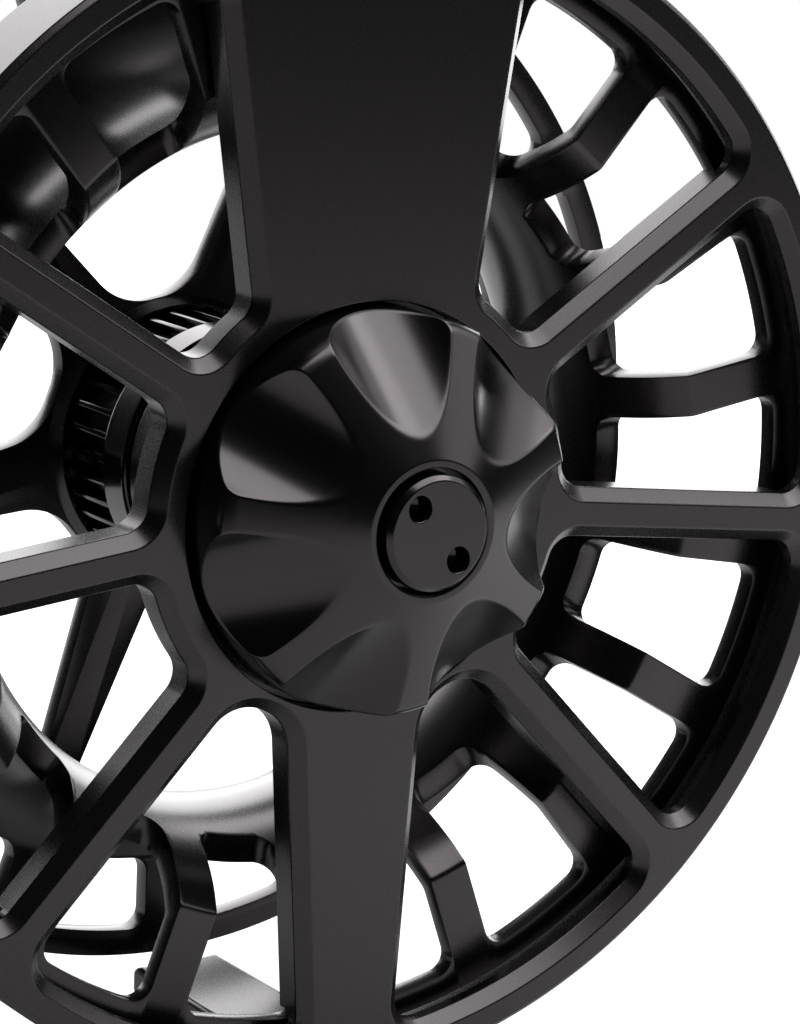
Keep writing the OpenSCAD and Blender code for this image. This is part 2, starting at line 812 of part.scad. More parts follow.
// Half width of the grip at a fraction of its length: a waist, then a rounded bulb
function grip_r(f) = grip_waist_r + grip_swell * (1 - cos(360 * f * f)) / 2 * f + grip_heel * pow(1 - f, 4);

module handle_grip() {
    color(black) on_reel() at_crank(0) rotate_extrude() polygon(concat(
        [[bush_out_r, -grip_start]],
        [for (i = [0:grip_steps]) [grip_r(i / grip_steps), -grip_start - grip_len * i / grip_steps]],
        [[bush_out_r, -grip_end]]
    ));
}

module handle_bush() {
    color(bronze) on_reel() at_crank(0) ring(bush_out_r, bush_bore_r, grip_start, grip_end);
}

frame();
reel_foot();
foot_screws();
housing_cover();
stem_seal();
bearing_outer();
pawl_pin();
pawl_spring();
click_pawl();
drag_knob();
knob_stem();
knob_cap();
drag_nut();
drag_spring();
female_cone();
male_cone();
spindle();
bearing_inner();
bearing_balls();
spindle_clip();
drive_hub();
click_gear();
clutch_cup();
clutch_rollers();
hub_bush();
spool_o_ring();
spool_rear_flange();
spool_arms();
spool_arbor();
spool_front_flange();
spool_spokes();
spool_cap();
counterweight();
counterweight_screw();
handle_post();
handle_washer();
handle_grip();
handle_bush();
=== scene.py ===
import json
import math

import bmesh
import bpy
from mathutils import Matrix, Vector
from mathutils.geometry import delaunay_2d_cdt


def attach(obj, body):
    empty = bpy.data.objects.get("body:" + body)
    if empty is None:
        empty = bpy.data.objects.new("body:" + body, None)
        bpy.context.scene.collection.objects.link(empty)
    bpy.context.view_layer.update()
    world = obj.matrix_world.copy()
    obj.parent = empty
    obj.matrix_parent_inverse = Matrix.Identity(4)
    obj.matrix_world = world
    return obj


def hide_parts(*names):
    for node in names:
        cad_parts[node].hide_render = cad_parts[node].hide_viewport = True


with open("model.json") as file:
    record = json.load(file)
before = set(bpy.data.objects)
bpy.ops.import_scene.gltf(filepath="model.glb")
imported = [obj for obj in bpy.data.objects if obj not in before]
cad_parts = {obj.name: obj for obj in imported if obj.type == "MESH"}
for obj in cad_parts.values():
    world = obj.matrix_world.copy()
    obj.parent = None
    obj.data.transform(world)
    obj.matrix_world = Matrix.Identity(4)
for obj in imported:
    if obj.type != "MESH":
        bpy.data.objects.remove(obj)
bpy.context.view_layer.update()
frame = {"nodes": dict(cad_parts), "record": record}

# Sizes are millimetres in the turning frame: z along the spin axis towards the knob, y up to the foot.
FOOT_MID = 17.0
FOOT_TOP = 59.5
AXIS = Vector((0.0, 0.0, -FOOT_TOP / 1000))
TURN_STEPS = 360
SHARP_ANGLE = 32
CORE_R = 0.02

# The most of a side that a rounded corner takes, and how far past the round its holding point lies.
CORNER_SHARE = 0.45
HOLD = 0.4

# What the triangulation fills, its tolerance, and how near points have to be to merge, in metres.
INSIDE_ONLY = 1
FILL_TOLERANCE = 1e-6
MERGE_M = 1e-7


def on_reel(p):
    """A point of the turning frame, in metres, where the reel hangs below the rod."""
    return (p[0] / 1000, (-p[2] - FOOT_MID) / 1000, (p[1] - FOOT_TOP) / 1000)


def along(angle):
    return (math.cos(math.radians(angle)), math.sin(math.radians(angle)))


def polar(r, angle, centre=(0.0, 0.0)):
    across, up = along(angle)
    return (centre[0] + r * across, centre[1] + r * up)


def bearing_of(p):
    return math.degrees(math.atan2(p[1], p[0]))


def spread(start, end, steps):
    """Even steps from a start up to an end that is left out."""
    return [start + (end - start) * i / steps for i in range(steps)]


def arc(centre, r, start, end, steps):
    return [polar(r, start + (end - start) * i / steps, centre) for i in range(steps + 1)]


def circle(r, steps=TURN_STEPS, centre=(0.0, 0.0)):
    return [polar(r, 360 * i / steps, centre) for i in range(steps)]


def step_toward(p, q, length):
    reach = math.dist(p, q)
    return tuple(p[k] + (q[k] - p[k]) * length / reach for k in range(len(p)))


def inside(point, loop):
    """Whether a flat point is inside a closed outline."""
    x, y = point
    crossed = False
    for (x0, y0), (x1, y1) in zip(loop, loop[1:] + loop[:1]):
        if (y0 > y) != (y1 > y) and x < (x1 - x0) * (y - y0) / (y1 - y0) + x0:
            crossed = not crossed
    return crossed


def round_corner(a, b, c, cut, steps=3):
    """Points of a small round that takes the corner b off the path a, b, c."""
    def toward(p, q):
        share = min(cut / math.dist(p, q), CORNER_SHARE)
        return tuple(p[k] + (q[k] - p[k]) * share for k in range(len(p)))
    start, end = toward(b, a), toward(b, c)
    points = []
    for i in range(steps + 1):
        t = i / steps
        first, second, third = (1 - t) ** 2, 2 * t * (1 - t), t * t
        points.append(tuple(first * start[k] + second * b[k] + third * end[k] for k in range(len(b))))
    return points


def soften(path, cut, closed=False):
    """A path with a small round at each of its corners, held by a point just before and just after it."""
    n = len(path)
    points = []
    for i in range(n):
        if not closed and i in (0, n - 1):
            points.append(tuple(path[i]))
            continue
        a, b, c = path[i - 1], path[i], path[(i + 1) % n]
        bend = round_corner(a, b, c, cut)
        if math.dist(b, a) > 3 * cut:
            points.append(step_toward(bend[0], a, HOLD * cut))
        points += bend
        if math.dist(b, c) > 3 * cut:
            points.append(step_toward(bend[-1], c, HOLD * cut))
    return points


class Shell:
    """Points and faces of one piece, in the turning frame."""

    def __init__(self):
        self.points = []
        self.faces = []

    def add(self, points):
        """Adds points and gives back their numbers."""
        start = len(self.points)
        self.points += points
        return list(range(start, len(self.points)))

    def ring(self, outline, z):
        return self.add([(p[0], p[1], z) for p in outline])

    def band(self, a, b):
        n = len(a)
        for i in range(n):
            self.faces.append((a[i], a[(i + 1) % n], b[(i + 1) % n], b[i]))

    def bands(self, rings):
        for a, b in zip(rings, rings[1:]):
            self.band(a, b)

    def fill(self, loops):
        """Flat face inside the first loop and outside the others; loops are lists of point numbers."""
        used = [i for loop in loops for i in loop]
        edges = []
        start = 0
        for loop in loops:
            edges += [(start + k, start + (k + 1) % len(loop)) for k in range(len(loop))]
            start += len(loop)
        flat = [Vector(self.points[i][:2]) for i in used]
        result = delaunay_2d_cdt(flat, edges, [], INSIDE_ONLY, FILL_TOLERANCE)
        origins = result[3]
        holes = [[self.points[i][:2] for i in loop] for loop in loops[1:]]
        spans = [[f(p[k] for p in hole) for k in (0, 1) for f in (min, max)] for hole in holes]
        for face in result[2]:
            corners = [self.points[used[origins[v][0]]] for v in face]
            x, y = (sum(p[k] for p in corners) / len(corners) for k in (0, 1))
            near = [hole for hole, (x0, x1, y0, y1) in zip(holes, spans) if x0 < x < x1 and y0 < y < y1]
            if not any(inside((x, y), hole) for hole in near):
                self.faces.append(tuple(used[origins[v][0]] for v in face))

    def turn(self, profile, steps=TURN_STEPS, closed=False, centre=(0.0, 0.0)):
        """Turned surface of a profile of (radius, z); returns its first and last ring."""
        rings = [self.ring(circle(r, steps, centre), z) for r, z in profile]
        self.bands(rings)
        if closed:
            self.band(rings[-1], rings[0])
        return rings[0], rings[-1]


def mesh_object(name, shell):
    mesh = bpy.data.meshes.new(name)
    mesh.from_pydata([on_reel(p) for p in shell.points], [], shell.faces)
    work = bmesh.new()
    work.from_mesh(mesh)
    bmesh.ops.remove_doubles(work, verts=work.verts, dist=MERGE_M)
    bmesh.ops.dissolve_degenerate(work, edges=work.edges, dist=MERGE_M)
    bmesh.ops.recalc_face_normals(work, faces=work.faces)
    work.to_mesh(mesh)
    work.free()
    obj = bpy.data.objects.new(name, mesh)
    bpy.context.scene.collection.objects.link(obj)
    return obj


def freeze(obj):
    """Turns what the modifiers make of an object into its plain mesh."""
    evaluated = obj.evaluated_get(bpy.context.evaluated_depsgraph_get())
    mesh = bpy.data.meshes.new_from_object(evaluated)
    obj.modifiers.clear()
    obj.data = mesh
    return obj


def shade(obj, finish, angle=SHARP_ANGLE):
    obj.data.materials.clear()
    obj.data.materials.append(finish)
    for face in obj.data.polygons:
        face.material_index = 0
    obj.data.shade_smooth()
    obj.data.set_sharp_from_angle(angle=math.radians(angle))
    return obj


def ease_edges(obj, width, segments=2, angle=30):
    """Breaks the sharp edges of a piece by a small round."""
    bevel = obj.modifiers.new("eased edges", "BEVEL")
    bevel.width = width / 1000
    bevel.segments = segments
    bevel.limit_method = "ANGLE"
    bevel.angle_limit = math.radians(angle)
    bevel.use_clamp_overlap = True
    bevel.miter_outer = "MITER_ARC"
    return freeze(obj)


def cut_with(obj, cutter, operation):
    tool = obj.modifiers.new("cut", "BOOLEAN")
    tool.operation = operation
    tool.object = cutter
    tool.solver = "EXACT"
    freeze(obj)
    bpy.data.objects.remove(cutter)


def slab(name, outline, z_low, z_high):
    """Straight bar of an outline along the spin axis."""
    shell = Shell()
    low, high = shell.ring(outline, z_low), shell.ring(outline, z_high)
    shell.band(low, high)
    shell.fill([low])
    shell.fill([high])
    return mesh_object(name, shell)


def turned(name, profile, finish, ease, steps=TURN_STEPS, centre=(0.0, 0.0), angle=SHARP_ANGLE):
    """A turned piece of a closed profile of (radius, z), with eased corners."""
    shell = Shell()
    shell.turn(soften(profile, ease, closed=True) if ease else profile, steps, True, centre)
    return shade(mesh_object(name, shell), finish, angle)


def fit(obj, body, slot, *nodes):
    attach(obj, body)
    if nodes:
        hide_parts(*nodes)


# Finishes
FILM_TINT = (1.0, 0.92, 0.95)
FILM_DARK, FILM_LIGHT = (0.0018, 0.0015, 0.0017), (0.0026, 0.0022, 0.0024)
CLOUD_SCALE, BLAST_SCALE, TURNING_SCALE = 45, 9000, 600
METAL_SCALE, MOULD_SCALE = 700, 2500
METAL_GRAIN_DEPTH, MOULD_GRAIN_DEPTH = 0.00001, 0.00002
METAL_RELIEF, MOULD_RELIEF = 0.05, 0.15
METAL_SHADE = 0.8
NOISE_LOW, NOISE_HIGH = 0.3, 0.7


def new_finish(name):
    finish = bpy.data.materials.new(name)
    finish.use_nodes = True
    tree = finish.node_tree
    shader = tree.nodes["Principled BSDF"]
    return finish, tree, shader


def add_node(tree, kind, **values):
    node = tree.nodes.new(kind)
    for key, value in values.items():
        setattr(node, key, value)
    return node


def grain(tree, scale, detail, stretch=(1, 1, 1)):
    place = add_node(tree, "ShaderNodeTexCoord")
    mapping = add_node(tree, "ShaderNodeMapping")
    mapping.inputs["Scale"].default_value = stretch
    noise = add_node(tree, "ShaderNodeTexNoise")
    noise.inputs["Scale"].default_value = scale
    noise.inputs["Detail"].default_value = detail
    tree.links.new(place.outputs["Object"], mapping.inputs["Vector"])
    tree.links.new(mapping.outputs["Vector"], noise.inputs["Vector"])
    return noise.outputs["Fac"]


def span(tree, value, low, high):
    ramp = add_node(tree, "ShaderNodeMapRange")
    ramp.inputs["From Min"].default_value = NOISE_LOW
    ramp.inputs["From Max"].default_value = NOISE_HIGH
    ramp.inputs["To Min"].default_value = low
    ramp.inputs["To Max"].default_value = high
    tree.links.new(value, ramp.inputs["Value"])
    return ramp.outputs["Result"]


def blend_colour(tree, value, dark, light):
    mix = add_node(tree, "ShaderNodeMix", data_type="RGBA")
    mix.inputs["A"].default_value = (*dark, 1)
    mix.inputs["B"].default_value = (*light, 1)
    tree.links.new(value, mix.inputs["Factor"])
    return mix.outputs["Result"]


def relief(tree, value, shader, strength, depth):
    bump = add_node(tree, "ShaderNodeBump")
    bump.inputs["Strength"].default_value = strength
    bump.inputs["Distance"].default_value = depth
    tree.links.new(value, bump.inputs["Height"])
    tree.links.new(bump.outputs["Normal"], shader.inputs["Normal"])


def anodised(name, dark, light, rough, specular, strength, scale=BLAST_SCALE, stretch=(1, 1, 1)):
    """Satin anodised aluminium: a fine blasted or machined grain under a thin, even film."""
    finish, tree, shader = new_finish(name)
    cloud = grain(tree, CLOUD_SCALE, 3)
    tree.links.new(blend_colour(tree, span(tree, cloud, 0, 1), dark, light), shader.inputs["Base Color"])
    fine = grain(tree, scale, 2, stretch)
    tree.links.new(span(tree, fine, *rough), shader.inputs["Roughness"])
    shader.inputs["Specular IOR Level"].default_value = specular
    shader.inputs["Specular Tint"].default_value = (*FILM_TINT, 1)
    relief(tree, fine, shader, strength, METAL_GRAIN_DEPTH)
    return finish


def bare_metal(name, colour, rough, stretch):
    finish, tree, shader = new_finish(name)
    lines = grain(tree, METAL_SCALE, 3, stretch)
    dark = [c * METAL_SHADE for c in colour]
    tree.links.new(blend_colour(tree, span(tree, lines, 0, 1), dark, colour), shader.inputs["Base Color"])
    tree.links.new(span(tree, lines, *rough), shader.inputs["Roughness"])
    shader.inputs["Metallic"].default_value = 1
    relief(tree, lines, shader, METAL_RELIEF, METAL_GRAIN_DEPTH)
    return finish


def moulded(name, dark, light, rough):
    finish, tree, shader = new_finish(name)
    fine = grain(tree, MOULD_SCALE, 2)
    tree.links.new(blend_colour(tree, span(tree, fine, 0, 1), dark, light), shader.inputs["Base Color"])
    tree.links.new(span(tree, fine, *rough), shader.inputs["Roughness"])
    relief(tree, fine, shader, MOULD_RELIEF, MOULD_GRAIN_DEPTH)
    return finish


FRAME_BLACK = anodised("frame satin black", FILM_DARK, FILM_LIGHT, rough=(0.24, 0.3), specular=0.8,
                       strength=0.03)
KNOB_BLACK = anodised("knob satin black", FILM_DARK, FILM_LIGHT, rough=(0.2, 0.25), specular=0.8,
                      strength=0.02)
CAP_BLACK = anodised("cap semi-gloss black", (0.0018, 0.0016, 0.0017), (0.0026, 0.0023, 0.0024),
                     rough=(0.16, 0.2), specular=0.75, strength=0.015)
SPOOL_BLACK = anodised("spool satin black", FILM_DARK, FILM_LIGHT, rough=(0.22, 0.28), specular=0.8,
                       strength=0.02)
HUB_BLACK = anodised("hub turned black", (0.002, 0.0019, 0.002), (0.003, 0.0029, 0.003),
                     rough=(0.14, 0.2), specular=0.9, strength=0.06, scale=TURNING_SCALE, stretch=(1, 40, 1))
STEEL = bare_metal("turned steel", (0.6, 0.6, 0.61), rough=(0.22, 0.34), stretch=(1, 30, 1))
BRONZE = bare_metal("sintered bronze", (0.55, 0.41, 0.22), rough=(0.35, 0.5), stretch=(1, 1, 1))
SEAL_RUBBER = moulded("seal rubber", (0.015, 0.015, 0.015), (0.025, 0.025, 0.025), rough=(0.55, 0.7))
GRIP_PLASTIC = moulded("grip moulded black", (0.012, 0.012, 0.012), (0.02, 0.02, 0.02), rough=(0.42, 0.55))

# Frame plate
RIM_R, RIM_EDGE, RIM_LIP_T = 50.8, 0.5, 2.2
SHROUD_IN_R, SHROUD_LEN = 48.5, 8.4
ARM_T, ARM_HALF_W = 3.8, 1.05
UPPER_ARM, ARM_PITCH = 33.3, 39.8
TOP_ARM_HALF_W, TOP_ARM_SPREAD = 7.2, 8.4
BOTTOM_ARM_HALF_W, BOTTOM_ARM_TAPER = 6.7, 3.66
BEVEL = 1.15
WINDOW_IN_R, WINDOW_OUT_R, WINDOW_FILLET = 19.3, 48.4, 3.4
LOW_WINDOW_IN_R, LOW_WINDOW_FILLET = 17.9, 5.1
PLATE_EASE = 0.11
PLATE_LEAD = 1.0

# Drag housing behind the plate
POCKET_R, POCKET_DEPTH = 17.5, 2.6
DRAG_BORE_R, DRAG_BORE_Z = 10.5, -13.6
BEARING_SEAT_R, BEARING_SEAT_Z = 6.0, -16.8
SPINDLE_HOLE_R = 5.0
CLICK_CUP_IN_R, CLICK_CUP_R, CLICK_CUP_Z = 11.0, 11.7, (-17.4, -20.2)
HOUSING_ROOT_R, HOUSING_R, HOUSING_Z = 19.0, 12.5, (-8.0, -16.7)


def corner_centre(angle, side, off, reach):
    run = along(angle)
    lift = math.sqrt(reach * reach - off * off)
    return (-side * off * run[1] + lift * run[0], side * off * run[0] + lift * run[1])


def window_outline(p, q, r_in, r_out, round_in, round_out, inset, corner_steps=12, rim_steps=30):
    """A window between side p, further left, and side q, and how many of its points are on the rim end."""
    f, g = round_in - inset, round_out - inset
    p_in = corner_centre(p[0], -1, p[1] + inset + f, r_in + inset + f)
    q_in = corner_centre(q[0], 1, q[1] + inset + f, r_in + inset + f)
    p_out = corner_centre(p[0], -1, p[1] + inset + g, r_out - inset - g)
    q_out = corner_centre(q[0], 1, q[1] + inset + g, r_out - inset - g)
    outer = arc(q_out, g, q[0] - 90, bearing_of(q_out), corner_steps)
    outer += arc((0, 0), r_out - inset, bearing_of(q_out), bearing_of(p_out), rim_steps)[1:-1]
    outer += arc(p_out, g, bearing_of(p_out), p[0] + 90, corner_steps)
    inner = arc(p_in, f, p[0] + 90, bearing_of(p_in) + 180, corner_steps)
    inner += arc((0, 0), r_in + inset, bearing_of(p_in), bearing_of(q_in), rim_steps // 3)[1:-1]
    inner += arc(q_in, f, bearing_of(q_in) + 180, q[0] + 270, corner_steps)
    return outer + inner, len(outer)


def frame_windows():
    """The two sides of each window on one half, the radius of its inner end and the round there."""
    top = (90 - TOP_ARM_SPREAD, TOP_ARM_HALF_W * math.cos(math.radians(TOP_ARM_SPREAD)))
    narrow = [(UPPER_ARM - k * ARM_PITCH, ARM_HALF_W) for k in range(3)]
    bottom = (-90 - BOTTOM_ARM_TAPER, BOTTOM_ARM_HALF_W * math.cos(math.radians(BOTTOM_ARM_TAPER)))
    sides = [top] + narrow + [bottom]
    ends = [(WINDOW_IN_R, WINDOW_FILLET)] * 3 + [(LOW_WINDOW_IN_R, LOW_WINDOW_FILLET)]
    return [(p, q, *end) for p, q, end in zip(sides, sides[1:], ends)]


def frame_window(window, inset, mirrored):
    p, q, r_in, round_in = window
    points, count = window_outline(p, q, r_in, WINDOW_OUT_R, round_in, WINDOW_FILLET, inset)
    if mirrored:
        points = [(-x, y) for x, y in points]
        points = points[count - 1::-1] + points[:count - 1:-1]
    return points, count


def window_walls(shell, window, mirrored):
    """Bevel and walls of one window; returns its loop on the face, its rim end and its arm end below."""
    edge = soften([(-PLATE_LEAD, 0.0), (0.0, 0.0), (BEVEL, -BEVEL), (BEVEL, -RIM_LIP_T)], PLATE_EASE)[1:-1]
    rings = [shell.ring(frame_window(window, inset, mirrored)[0], z) for inset, z in edge]
    shell.bands(rings)
    last, n = rings[-1], len(rings[-1])
    points, count = frame_window(window, BEVEL, mirrored)
    middle = shell.ring(points[:count], -RIM_LIP_T)
    low = shell.ring(points[count - 1:] + points[:1], -ARM_T)
    m = count - 1
    for i in range(m):
        shell.faces.append((last[i], last[i + 1], middle[i + 1], middle[i]))
    shell.faces.append((last[m], last[m + 1], low[1], low[0], middle[m]))
    for i in range(m + 1, n - 1):
        shell.faces.append((last[i], last[i + 1], low[i + 1 - m], low[i - m]))
    shell.faces.append((last[n - 1], last[0], middle[0], low[-1], low[-2]))
    return rings[0], middle, low


def housing_profile():
    cup_floor, cup_end = CLICK_CUP_Z
    taper_end, shoulder = HOUSING_Z
    return [(HOUSING_ROOT_R, 0.0), (POCKET_R, 0.0), (POCKET_R, -POCKET_DEPTH), (DRAG_BORE_R, -POCKET_DEPTH),
            (DRAG_BORE_R, DRAG_BORE_Z), (BEARING_SEAT_R, DRAG_BORE_Z), (BEARING_SEAT_R, BEARING_SEAT_Z),
            (SPINDLE_HOLE_R, BEARING_SEAT_Z), (SPINDLE_HOLE_R, cup_floor), (CLICK_CUP_IN_R, cup_floor),
            (CLICK_CUP_IN_R, cup_end), (CLICK_CUP_R, cup_end), (CLICK_CUP_R, shoulder),
            (HOUSING_R, shoulder), (HOUSING_R, taper_end), (HOUSING_ROOT_R, -ARM_T)]


def frame_plate():
    """The plate with its eight bevelled windows, the rim and the drag housing, as one closed shell."""
    shell = Shell()
    windows = frame_windows()
    order = [(window, False) for window in reversed(windows)] + [(window, True) for window in windows]
    faces, middles, lows = zip(*[window_walls(shell, window, mirrored) for window, mirrored in order])
    rim = [(RIM_R - RIM_EDGE - PLATE_LEAD, 0.0), (RIM_R - RIM_EDGE, 0.0), (RIM_R, -RIM_EDGE),
           (RIM_R, -SHROUD_LEN), (SHROUD_IN_R, -SHROUD_LEN), (SHROUD_IN_R, -RIM_LIP_T)]
    rim_face, rim_lip = shell.turn(soften(rim, PLATE_EASE)[1:])
    pocket_edge, boss_edge = shell.turn(soften(housing_profile(), PLATE_EASE)[1:])
    shell.fill([rim_face, pocket_edge, *faces])
    shell.fill([[i for low in lows for i in low[::-1]], boss_edge])
    shell.fill([rim_lip, [i for middle in middles for i in middle]])
    for k, middle in enumerate(middles):
        ahead = (k + 1) % len(middles)
        shell.faces.append((middle[-1], lows[k][0], lows[ahead][-1], middles[ahead][0]))
    return shade(mesh_object("frame_plate", shell), FRAME_BLACK, angle=30)


# Foot bridge and line pillar
CAGE_LEN, CAGE_IN_R, CAGE_FACE_Z = 31.0, 49.4, -0.02
BRIDGE_ROOT_HALF, BRIDGE_SIDE_HALF, BRIDGE_TOP_HALF = 15.3, 15.1, 14.0
BRIDGE_TOP, BRIDGE_CHAMFER, BRIDGE_EASE = 53.5, 1.0, 0.5
PILLAR_HALF, PILLAR_T, PILLAR_EASE = 4.5, 2.8, 0.6


def cage_bar(name, outline, ease):
    bar = slab(name, outline, -CAGE_LEN, CAGE_FACE_Z)
    return shade(ease_edges(bar, ease, 3), FRAME_BLACK)


def foot_bridge():
    root = math.degrees(math.asin(BRIDGE_ROOT_HALF / CAGE_IN_R))
    shoulder = BRIDGE_TOP - BRIDGE_CHAMFER
    outline = arc((0, 0), CAGE_IN_R, 90 - root, 90 + root, 40)
    outline += [(-BRIDGE_SIDE_HALF, shoulder), (-BRIDGE_TOP_HALF, BRIDGE_TOP), (BRIDGE_TOP_HALF, BRIDGE_TOP),
                (BRIDGE_SIDE_HALF, shoulder)]
    return cage_bar("foot_bridge", outline, BRIDGE_EASE)


def line_pillar():
    inner = math.degrees(math.asin(PILLAR_HALF / CAGE_IN_R))
    outer = math.degrees(math.asin(PILLAR_HALF / (CAGE_IN_R + PILLAR_T)))
    outline = arc((0, 0), CAGE_IN_R, 270 + inner, 270 - inner, 12)
    outline += arc((0, 0), CAGE_IN_R + PILLAR_T, 270 - outer, 270 + outer, 12)
    return cage_bar("line_pillar", outline, PILLAR_EASE)


# Reel foot
FOOT_LEN, FOOT_W = 63.0, 13.5
FOOT_TIP_R, FOOT_TIP_A, FOOT_TIP_T = 4.6, 78, 1.5
FOOT_ROOT_HALF, FOOT_ROOT_T, FOOT_NECK_HALF = 13.0, 3.0, 11.0
FOOT_EASE, FOOT_CUT_PAST = 0.35, 1.0


def reel_foot():
    """The foot's side view along the spin axis, cut to its plan."""
    half = FOOT_LEN / 2
    right = [(FOOT_NECK_HALF, BRIDGE_TOP), (FOOT_ROOT_HALF, FOOT_TOP - FOOT_ROOT_T),
             (half, FOOT_TOP - FOOT_TIP_T), (half, FOOT_TOP)]
    foot = slab("reel_foot_body", [(-x, y) for x, y in reversed(right)] + right, -2 * FOOT_MID, 0)
    plan = [(FOOT_LEN / 4, -FOOT_W / 2)]
    plan += arc((half - FOOT_TIP_R, 0), FOOT_TIP_R, -FOOT_TIP_A, FOOT_TIP_A, 16)
    plan += [(FOOT_LEN / 4, FOOT_W / 2)]
    plan += [(-x, -y) for x, y in plan]
    shell = Shell()
    heights = (BRIDGE_TOP - FOOT_CUT_PAST, FOOT_TOP + FOOT_CUT_PAST)
    rings = [shell.add([(x, height, y - FOOT_MID) for x, y in plan]) for height in heights]
    shell.bands(rings)
    shell.faces += [tuple(ring) for ring in rings]
    cut_with(foot, mesh_object("foot plan", shell), "INTERSECT")
    return shade(ease_edges(foot, FOOT_EASE, 3), FRAME_BLACK)


# Drag knob
KNOB_R, KNOB_TOP_Z, KNOB_LOW_Z = 17.0, 10.0, -1.6
LAND_TOP_R, LAND_RIM_Z, LAND_TIP_R = 6.0, 5.0, 1.8
SCALLOPS, SCALLOP_R, SCALLOP_A = 7, 8.3, 44.2
SCALLOP_TOP, SCALLOP_LOW = (7.0, 10.0), (17.0, 0.7)
FAR_ABOVE = 99.0
CREASE_ROUND = 0.22
NARROWEST_SCOOP = 0.05
SCOOP_STEPS, SCOOP_CROWDING = 24, 1.7
LAND_STEPS, LAND_CROWDING = 10, 1.6
KNOB_RIM_EASE, KNOB_EASE = 0.2, 0.25
KNOB_RIM_ZONE, KNOB_TOP_ZONE_R = 1.2, 8.0
CAP_POCKET_R, CAP_POCKET_Z, CAP_POCKET_EASE = 5.3, 8.0, 0.15
CAP_POCKET_BREAK = ((0.0, 0.2), (0.04, 0.07))
SKIRT_Z = 0.2
KNOB_HOLLOW_R, KNOB_HOLLOW_Z = 14.0, 1.0
KNOB_SLEEVE_R, STEM_HOLE_R = 5.5, 4.02


def land_z(r):
    """Height of a land: a cone whose tip rounds over into the skirt."""
    slope = (KNOB_TOP_Z - LAND_RIM_Z) / (KNOB_R - LAND_TOP_R)
    lean = math.atan(slope)
    if r <= KNOB_R - LAND_TIP_R * (1 - math.sin(lean)):
        return LAND_RIM_Z + (KNOB_R - r) * slope
    middle_z = LAND_RIM_Z + LAND_TIP_R * (slope - 1 / math.cos(lean))
    return middle_z + math.sqrt(max(LAND_TIP_R ** 2 - (r - KNOB_R + LAND_TIP_R) ** 2, 0.0))


def scallop_z(s, w):
    """Height of a scallop at a place s along it and w to its side."""
    run = (SCALLOP_LOW[0] - SCALLOP_TOP[0], SCALLOP_LOW[1] - SCALLOP_TOP[1])
    length = math.hypot(*run)
    normal = (-run[1] / length, run[0] / length)
    if abs(w) >= SCALLOP_R:
        return FAR_ABOVE
    drop = SCALLOP_R - math.sqrt(SCALLOP_R ** 2 - w * w)
    return SCALLOP_TOP[1] + (drop - (s - SCALLOP_TOP[0]) * normal[0]) / normal[1]


def knob_z(r, angle):
    """Height of the knob's top at a radius and an angle from the middle of a scallop."""
    a = land_z(r)
    b = scallop_z(r * math.cos(angle), r * math.sin(angle))
    gap = max(CREASE_ROUND - abs(a - b), 0) / CREASE_ROUND
    rim = max(r - KNOB_R + KNOB_RIM_EASE, 0) / KNOB_RIM_EASE
    return min(a, b) - gap * gap * CREASE_ROUND / 4 - rim * rim * KNOB_RIM_EASE / 2


def crease_angle(r):
    """Half the angle that a scallop takes up at a radius."""
    low, high = 0.0, math.pi / SCALLOPS
    narrowest = NARROWEST_SCOOP * high
    if scallop_z(r, 0) >= land_z(r):
        return narrowest
    for _ in range(40):
        middle = (low + high) / 2
        if scallop_z(r * math.cos(middle), r * math.sin(middle)) < land_z(r):
            low = middle
        else:
            high = middle
    return max(low, narrowest)


def knob_columns(r):
    """Angles of one scallop and its two half lands, closer together at the creases."""
    half, crease = math.pi / SCALLOPS, crease_angle(r)
    right = [crease * (1 - (1 - i / SCOOP_STEPS) ** SCOOP_CROWDING) for i in range(1, SCOOP_STEPS + 1)]
    right += [crease + (half - crease) * (i / LAND_STEPS) ** LAND_CROWDING for i in range(1, LAND_STEPS + 1)]
    return [-a for a in right[-2::-1]] + [0.0] + right


def knob_ring(shell, r, height):
    """A ring of the knob at a radius, its height given for the angle from the middle of each scallop."""
    columns = knob_columns(r)
    points = []
    for k in range(SCALLOPS):
        for a in columns:
            turn = math.radians(SCALLOP_A) + k * 2 * math.pi / SCALLOPS + a
            points.append((r * math.cos(turn), r * math.sin(turn), height(a)))
    return shell.add(points)


